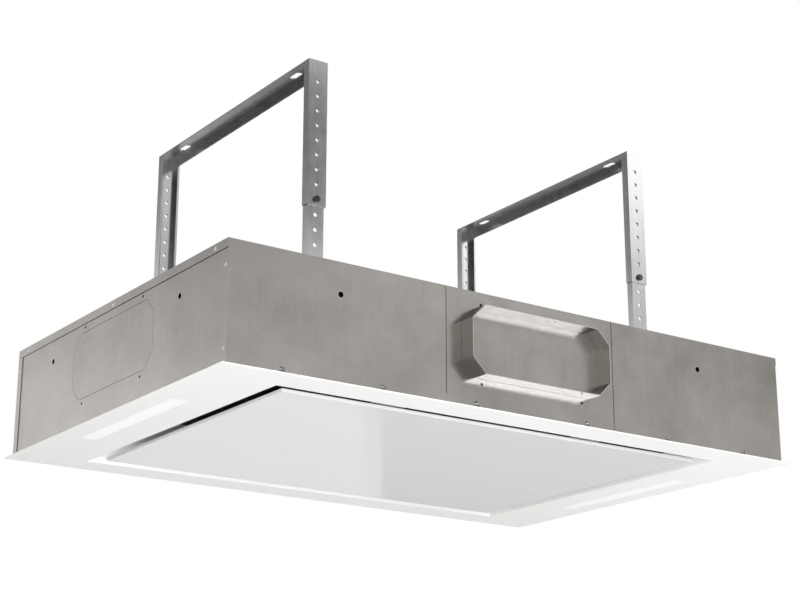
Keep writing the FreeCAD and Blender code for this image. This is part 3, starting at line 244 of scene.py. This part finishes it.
# %% Moulded plastics and rubber
def moulded(name, shade, light, rough, grain_mm, **sockets):
    material, tree, shader, place = new_finish(name, IOR=1.49, **sockets)
    grain = add(tree, "ShaderNodeTexNoise", {"Vector": place, "Scale": per_mm(grain_mm),
                                             "Detail": 3.0})
    wear = add(tree, "ShaderNodeTexNoise", {"Vector": place, "Scale": per_mm(25), "Detail": 4.0})
    colour = add(tree, "ShaderNodeMix", {"Factor": wear.outputs["Fac"], "A": linear(shade),
                                         "B": linear(light)}, data_type="RGBA")
    gloss = add(tree, "ShaderNodeMapRange", {"Value": wear.outputs["Fac"], "From Min": 0.3,
                                             "From Max": 0.7, "To Min": rough - 0.05,
                                             "To Max": rough + 0.07})
    tooth = add(tree, "ShaderNodeBump", {"Height": grain.outputs["Fac"], "Strength": 0.4,
                                         "Distance": 0.00006})
    tree.links.new(colour.outputs["Result"], shader.inputs["Base Color"])
    tree.links.new(gloss.outputs["Result"], shader.inputs["Roughness"])
    tree.links.new(tooth.outputs["Normal"], shader.inputs["Normal"])
    return material


finishes["opal"] = moulded("opal_acrylic_lens", "#F3F3F1", "#F8F8F6", 0.35, 1.5,
                           **{"Emission Color": linear("#F2FFFC"), "Emission Strength": 0.10})
finishes["black_plastic"] = moulded("black_moulded_nylon", "#1A1B1C", "#26272A", 0.48, 0.9)
finishes["grey_plastic"] = moulded("grey_moulded_abs", "#A2A4A6", "#ADAFB1", 0.46, 1.0)
finishes["rubber"] = moulded("black_rubber_jacket", "#1C1C1C", "#282828", 0.62, 0.8)
finishes["board_white"] = moulded("white_lamp_board", "#E2E2DC", "#ECECE6", 0.40, 2.0)
print("moulded", finishes["opal"].name)

# %% Printed board
def printed_board():
    material, tree, shader, place = new_finish("green_printed_board", IOR=1.5, Roughness=0.32)
    tracks = add(tree, "ShaderNodeTexBrick",
                 {"Vector": place, "Scale": per_mm(10), "Color1": linear("#1D5B3A"),
                  "Color2": linear("#236846"), "Mortar": linear("#3C8357"), "Mortar Size": 0.05,
                  "Brick Width": 0.9, "Row Height": 0.4})
    relief = add(tree, "ShaderNodeBump", {"Height": tracks.outputs["Fac"], "Strength": 0.4,
                                          "Distance": 0.00006})
    tree.links.new(tracks.outputs["Color"], shader.inputs["Base Color"])
    tree.links.new(relief.outputs["Normal"], shader.inputs["Normal"])
    return material


finishes["board_green"] = printed_board()
print("board", finishes["board_green"].name)

# %% [markdown]
# ## Finishes onto the pieces
# The record of the solids gives every piece a slot, such as box steel or white gloss, and the
# table above has one finish for each slot. Two pieces get a sheet of their own: the cover, whose
# grain lies flat, and the paler collar.

# %% One finish for each slot
for node, part in nodes.items():
    part.data.materials.clear()
    part.data.materials.append(finishes[slot_of[node]])
nodes["top_cover"].data.materials[0] = flat_sheet
nodes["outlet_collar"].data.materials[0] = collar_sheet
print(len(finishes), "finishes on", len(nodes), "pieces")

# %% [markdown]
# ## Broken edges
# Sheet that was folded or deburred has no razor edges: each one is rounded a few tenths of a
# millimetre and catches a thin line of light. A piece's mesh comes in as loose triangles, so a
# copy is merged, its flat triangles are dissolved into whole faces, and a Bevel modifier rounds
# what is sharper than 40 degrees. The copy then stands for the solid.
# Two pieces lie in gaps that the solids need to move or go together: the flap in its collar and
# the cover's lip over the walls. Sheet that is pressed home closes such a gap to a hairline, so
# these two copies reach about half a millimetre further into it, but never touch the other side.

# %% Softened copies of the sheet pieces
weld = 0.000002
flat_angle = math.radians(0.3)
sharp_angle = math.radians(40)
face_band = 0.0005
closer = {"damper_flap": [(0, 0.5, 0.5), (2, 0.5, 0.5)], "top_cover": [(2, 0.6, 0)]}


def new_piece(shape, name):
    mesh = bpy.data.meshes.new(name)
    shape.to_mesh(mesh)
    shape.free()
    piece = bpy.data.objects.new(name, mesh)
    scene.collection.objects.link(piece)
    return piece


def soften(node, edge_mm):
    shape = bmesh.new()
    shape.from_mesh(nodes[node].data)
    bmesh.ops.remove_doubles(shape, verts=shape.verts, dist=weld)
    bmesh.ops.dissolve_limit(shape, angle_limit=flat_angle, verts=shape.verts,
                             edges=shape.edges)
    low, high = [Vector(corner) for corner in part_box(node)]
    for axis, below, above in closer.get(node, []):
        for vert in shape.verts:
            if vert.co[axis] < low[axis] + face_band:
                vert.co[axis] -= below / 1000
            elif vert.co[axis] > high[axis] - face_band:
                vert.co[axis] += above / 1000
    for face in shape.faces:
        face.smooth = True
    for edge in shape.edges:
        edge.smooth = edge.is_manifold and edge.calc_face_angle(0) < sharp_angle
    piece = new_piece(shape, node + "_soft")
    piece.data.materials.append(nodes[node].data.materials[0])
    rounded = piece.modifiers.new("broken_edge", "BEVEL")
    rounded.width = edge_mm / 1000
    rounded.segments = 2
    rounded.limit_method = "ANGLE"
    rounded.angle_limit = sharp_angle
    rounded.harden_normals = True
    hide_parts(node)
    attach(piece, body_of[node])
    return len(piece.data.polygons)


sheet_edges = {
    "front_wall_left": 0.25, "front_wall_right": 0.25, "front_outlet_plate": 0.25,
    "side_wall_left": 0.25, "side_wall_right": 0.25, "rear_wall_left": 0.25,
    "rear_wall_right": 0.25, "rear_access_plate": 0.25, "top_cover": 0.2,
    "outlet_collar": 0.2, "damper_flap": 0.05, "ceiling_trim_frame": 0.3, "suction_panel": 0.2,
    "hanger_yoke_left": 0.2, "hanger_yoke_right": 0.2, "hanger_leg_front_left": 0.3,
    "hanger_leg_front_right": 0.3, "hanger_leg_rear_left": 0.3, "hanger_leg_rear_right": 0.3,
}
for node, edge in sheet_edges.items():
    print(node, soften(node, edge), "faces")

# %% [markdown]
# ## Expanded metal in the filters
# A grease filter is a stack of thin aluminium layers in a folded frame. The layer that faces the
# cook is expanded metal: a sheet is slit in staggered rows and pulled, each slit opens to a
# diamond, and the strands between the diamonds tilt. Diamonds could be cut out of a plate with
# booleans, but a square grid turned on its corner and stretched already has the pattern. Each
# diamond is inset with some depth, which tilts the strands, its middle is taken out, and the
# lattice gets a thickness. The folded layer behind it comes from the solid. The diamonds are
# drawn twelve millimetres long, about twice the real size, so that they show in a picture of
# the whole hood. The lattice is bare rolled aluminium, and the layers behind it keep the filters'
# dark grey, which is painted shade.

# %% A lattice of diamonds
long_mm, short_mm, strand_mm = 12, 6, 1.3
strand_depth = 0.00025
strand_thickness = 0.0002
lattice_lift = 0.00022
whole_share = 0.99


def diamond_lattice(low, high):
    middle, size = (low + high) / 2, high - low
    diamond = Vector((long_mm / 1000, short_mm / 1000, 0))
    count = math.ceil(size.x / diamond.x + size.y / diamond.y)
    stretch = (diamond.x / math.sqrt(2), diamond.y / math.sqrt(2), 1)
    shape = bmesh.new()
    bmesh.ops.create_grid(shape, x_segments=count, y_segments=count, size=count / 2)
    bmesh.ops.rotate(shape, matrix=Matrix.Rotation(math.radians(45), 3, "Z"), verts=shape.verts)
    bmesh.ops.scale(shape, vec=stretch, verts=shape.verts)
    bmesh.ops.translate(shape, vec=(middle.x, middle.y, low.z + lattice_lift), verts=shape.verts)
    for corner, outward in ((low, (-1, 0, 0)), (low, (0, -1, 0)),
                            (high, (1, 0, 0)), (high, (0, 1, 0))):
        bmesh.ops.bisect_plane(shape, geom=shape.verts[:] + shape.edges[:] + shape.faces[:],
                               plane_co=corner, plane_no=outward, clear_outer=True)
    whole = diamond.x * diamond.y / 2
    openings = [face for face in shape.faces if face.calc_area() > whole_share * whole]
    bmesh.ops.inset_individual(shape, faces=openings, thickness=strand_mm / 2000,
                               depth=strand_depth, use_even_offset=True)
    bmesh.ops.delete(shape, geom=openings, context="FACES")
    bmesh.ops.solidify(shape, geom=shape.faces[:], thickness=strand_thickness)
    bmesh.ops.recalc_face_normals(shape, faces=shape.faces)
    return shape, len(openings)


print("diamonds of", long_mm, "by", short_mm, "mm, strands of", strand_mm, "mm")

# %% The lattice over the folded layers
bare_mesh = plated("rolled_aluminium_mesh", "#8C8E90", "#A3A5A7", 0.35, 8, (4, 4, 4))
front_layer = 0.00055


def expanded_metal(node):
    low, high = [Vector(corner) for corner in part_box(node)]
    shape, openings = diamond_lattice(low, high)
    layers = bmesh.new()
    layers.from_mesh(nodes[node].data)
    bmesh.ops.remove_doubles(layers, verts=layers.verts, dist=weld)
    front = [vert for vert in layers.verts if vert.co.z < low.z + front_layer]
    bmesh.ops.delete(layers, geom=front, context="VERTS")
    for face in layers.faces:
        face.material_index = 1
    mesh = bpy.data.meshes.new(node + "_expanded")
    layers.to_mesh(mesh)
    layers.free()
    shape.from_mesh(mesh)
    shape.to_mesh(mesh)
    shape.free()
    mesh.materials.append(bare_mesh)
    # The folded layers keep the filters' dark grey, which is painted shade.
    mesh.materials.append(nodes[node].data.materials[0])
    piece = bpy.data.objects.new(node + "_expanded", mesh)
    scene.collection.objects.link(piece)
    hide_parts(node)
    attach(piece, body_of[node])
    return openings, len(mesh.polygons)


for node in ("filter_mesh_left", "filter_mesh_right"):
    openings, faces = expanded_metal(node)
    print(node, openings, "openings", faces, "faces")

# %% [markdown]
# ## Camera
# The photograph was taken from below the ceiling, in front of the outlet side and well to the
# left. The place and lens come from the box's own edges in the picture: their two vanishing
# directions give the turn and the lens, and the corners give the distance.

# %% Camera at the photograph's angle
eye = Vector((-1.3837, -1.9751, -0.5332))
sight = Vector((0.5471, 0.7807, 0.3020)).normalized()
right = Vector((0.8187, -0.5741, 0.0011))
right = (right - right.dot(sight) * sight).normalized()
lens = bpy.data.cameras.new("portrait")
lens.sensor_width = 36
lens.lens = 80.53
camera = bpy.data.objects.new("portrait", lens)
scene.collection.objects.link(camera)
turn = Matrix((right, right.cross(sight), -sight)).transposed().to_4x4()
camera.matrix_world = Matrix.Translation(eye) @ turn
scene.camera = camera
forward = camera.matrix_world.to_3x3() @ Vector((0, 0, -1))
print("camera looks along", [round(v, 4) for v in forward])

# %% [markdown]
# ## Studio
# The hood hangs in a pale studio: a wide matt floor well below it, soft lamps, and a white
# surround. The surround is white to the camera and in reflections, and a plain level for the
# light that falls on the matt surfaces. The floor is a matt disc that keeps the hood's shadow. To
# the eye and in reflections it is mixed with white, a little near the hood and wholly far away,
# where it meets the surround without an edge. Its underside is clear, so that a camera below it
# still sees the hood.

# %% White surround
world = bpy.data.worlds.new("white_surround")
scene.world = world
world.use_nodes = True
tree = world.node_tree
tree.nodes.clear()
path = add(tree, "ShaderNodeLightPath", {})
seen = add(tree, "ShaderNodeMath", {0: path.outputs["Is Camera Ray"],
                                    1: path.outputs["Is Glossy Ray"]}, operation="MAXIMUM")
seen = add(tree, "ShaderNodeMath", {0: seen.outputs[0], 1: path.outputs["Is Transmission Ray"]},
           operation="MAXIMUM")
level = add(tree, "ShaderNodeMapRange", {"Value": seen.outputs[0], "To Min": 0.4, "To Max": 1.0})
glow = add(tree, "ShaderNodeBackground", {"Color": linear("#FFFFFF"),
                                          "Strength": level.outputs["Result"]})
add(tree, "ShaderNodeOutputWorld", {"Surface": glow.outputs["Background"]})
print(world.name, "has", len(tree.nodes), "nodes")

# %% Matt floor
floor_z = -1.8
floor_radius = 25
shape = bmesh.new()
bmesh.ops.create_circle(shape, cap_ends=True, radius=floor_radius, segments=96)
bmesh.ops.translate(shape, verts=shape.verts, vec=(0, 0, floor_z))
floor = new_piece(shape, "studio_floor")
material, tree, shader, place = new_finish("matt_studio_floor", Roughness=0.9)
shader.inputs["Base Color"].default_value = linear("#F4F4F2")
path = add(tree, "ShaderNodeLightPath", {})
away = add(tree, "ShaderNodeVectorMath", {0: place}, operation="LENGTH")
fade = add(tree, "ShaderNodeMapRange", {"Value": away.outputs["Value"], "From Min": 5.0,
                                        "From Max": 9.0, "To Min": 0.45},
           interpolation_type="SMOOTHSTEP")
seen = add(tree, "ShaderNodeMath", {0: path.outputs["Is Camera Ray"],
                                    1: path.outputs["Is Glossy Ray"]}, operation="MAXIMUM")
white = add(tree, "ShaderNodeMath", {0: seen.outputs[0], 1: fade.outputs["Result"]},
            operation="MULTIPLY")
surround = add(tree, "ShaderNodeEmission", {"Color": linear("#FFFFFF"), "Strength": 1.0})
both = add(tree, "ShaderNodeMixShader", {"Fac": white.outputs[0], 1: shader.outputs["BSDF"],
                                         2: surround.outputs["Emission"]})
below = add(tree, "ShaderNodeNewGeometry", {}).outputs["Backfacing"]
open_side = add(tree, "ShaderNodeBsdfTransparent", {})
sided = add(tree, "ShaderNodeMixShader", {"Fac": below, 1: both.outputs["Shader"],
                                          2: open_side.outputs["BSDF"]})
output = next(n for n in tree.nodes if n.type == "OUTPUT_MATERIAL")
tree.links.new(sided.outputs["Shader"], output.inputs["Surface"])
floor.data.materials.append(material)
print("floor at", floor_z, "m")

# %% [markdown]
# ## Lamps
# Four soft boxes light the hood. A key stands high on the left, a fill low on the right, and a
# strong one beside the camera gives the white underside its level. A small one low on the right
# shows in the folded faces of the collar, after a bounce off the wall behind them. It has a
# honeycomb grid: its light stays in a cone of 20 degrees and misses the hangers. Such a cone is 98
# times as bright as the same power spread all round, so the power comes down by that. The strong
# one is kept out of reflections, because the inner corners of the hangers would throw it straight
# back. An area lamp's power spreads over its face, so each lamp is given the brightness that its
# face shows, and the power follows from its size.

# %% Soft boxes
watts_per_square_metre = 4
grid_angle = math.radians(20)
grid_gain = 98


def lamp(name, place, target, width, height, brightness):
    light = bpy.data.lights.new(name, "AREA")
    light.shape = "RECTANGLE"
    light.size = width
    light.size_y = height
    light.energy = watts_per_square_metre * width * height * brightness
    made = bpy.data.objects.new(name, light)
    scene.collection.objects.link(made)
    made.location = place
    made.rotation_euler = (Vector(target) - Vector(place)).to_track_quat("-Z", "Y").to_euler()
    made.visible_camera = False
    return made


soft_key = lamp("soft_key", (-2.6, -2.4, 2.6), (0, 0, 0.1), 2.4, 2.4, 1.2)
floor_fill = lamp("floor_fill", (1.3, -0.7, -1.1), (0.45, 0, 0), 1.2, 1.2, 1.95)
low_front = lamp("low_front", (-1.62, -2.45, -0.74), (0, 0, 0), 1.0, 0.7, 25.8)
low_front.visible_glossy = False
low_right = lamp("low_right", (1.38, -1.95, -0.56), (0.05, -0.35, -0.04), 0.62, 0.42,
                 15.8 / grid_gain)
low_right.data.spread = grid_angle
low_right.data.color = linear("#F2F8FF")[:3]
for light in (soft_key, floor_fill, low_front, low_right):
    print(light.name, round(light.data.energy, 1), "W")

# %% [markdown]
# ## Cards for the reflections
# Bare metal has no colour of its own to speak of: it shows what stands round it. So a
# photographer sets up cards as well as lamps, black cloth where a fold should go dark and pale
# card where a face should shine. These cards are seen in reflections only. They throw no shadow
# and light nothing matt, so each one can be set without upsetting the others. A card is one flat
# grid, and a pale one glows a little in place of a lamp of its own.

# %% Dark and pale cards
def card(name, place, target, width, height, shade, glow):
    shape = bmesh.new()
    bmesh.ops.create_grid(shape, x_segments=1, y_segments=1, size=0.5)
    bmesh.ops.scale(shape, vec=(width, height, 1), verts=shape.verts)
    turn = (Vector(target) - Vector(place)).to_track_quat("-Z", "Y").to_matrix().to_4x4()
    bmesh.ops.transform(shape, matrix=Matrix.Translation(place) @ turn, verts=shape.verts)
    made = new_piece(shape, name)
    material, _, shader, _ = new_finish(name + "_cloth", Roughness=0.9)
    shader.inputs["Base Color"].default_value = linear(shade)
    shader.inputs["Emission Color"].default_value = linear("#FFFFFF")
    shader.inputs["Emission Strength"].default_value = glow
    made.data.materials.append(material)
    made.visible_camera = False
    made.visible_diffuse = False
    made.visible_shadow = False
    return made


cards = (
    card("dark_card_front", (-0.8, -0.8, 0.97), (-0.1, 0.2, 0.35), 1.3, 0.75, "#101010", 0),
    card("dark_card_rear", (-2.0, 2.3, 1.95), (-0.3, 0, 0.3), 2.8, 1.3, "#3A3A3A", 0.2),
    card("dark_cloth_floor", (0.5, 4.2, -1.79), (0.5, 4.2, 0), 11.0, 1.5, "#2A2A2A", 0),
    card("dark_cloth_left", (-3.2, 4.8, -1.785), (-3.2, 4.8, 0), 6.0, 4.4, "#2A2A2A", 0),
    card("bright_card_left", (-1.85, 2.3, 0.42), (-0.44, 0, 0.05), 1.2, 0.65, "#808080", 1.3),
    card("bright_card_right", (2.05, -2.1, 1.7), (0.27, 0, 0.35), 1.0, 0.8, "#808080", 2.0),
    card("grey_card_right", (2.2, -2.2, 0.85), (0.3, -0.2, 0.1), 1.0, 0.4, "#5A5A5A", 0.6),
    card("grey_card_near", (0.1, -0.95, 0.66), (-0.27, -0.2, 0.25), 0.3, 0.3, "#303030", 0.05),
    card("bright_card_back", (2.15, 5.0, -1.385), (2.15, 0, -1.385), 2.3, 0.81, "#808080", 0.95),
    card("grey_card_back", (4.7, 5.0, -1.385), (4.7, 0, -1.385), 2.6, 0.81, "#808080", 0.58),
)
print(len(cards), "cards")

# %% [markdown]
# ## Plain view
# The picture keeps the plain Standard view, so that a colour shows about as it is written.

# %% Standard view
scene.view_settings.view_transform = "Standard"
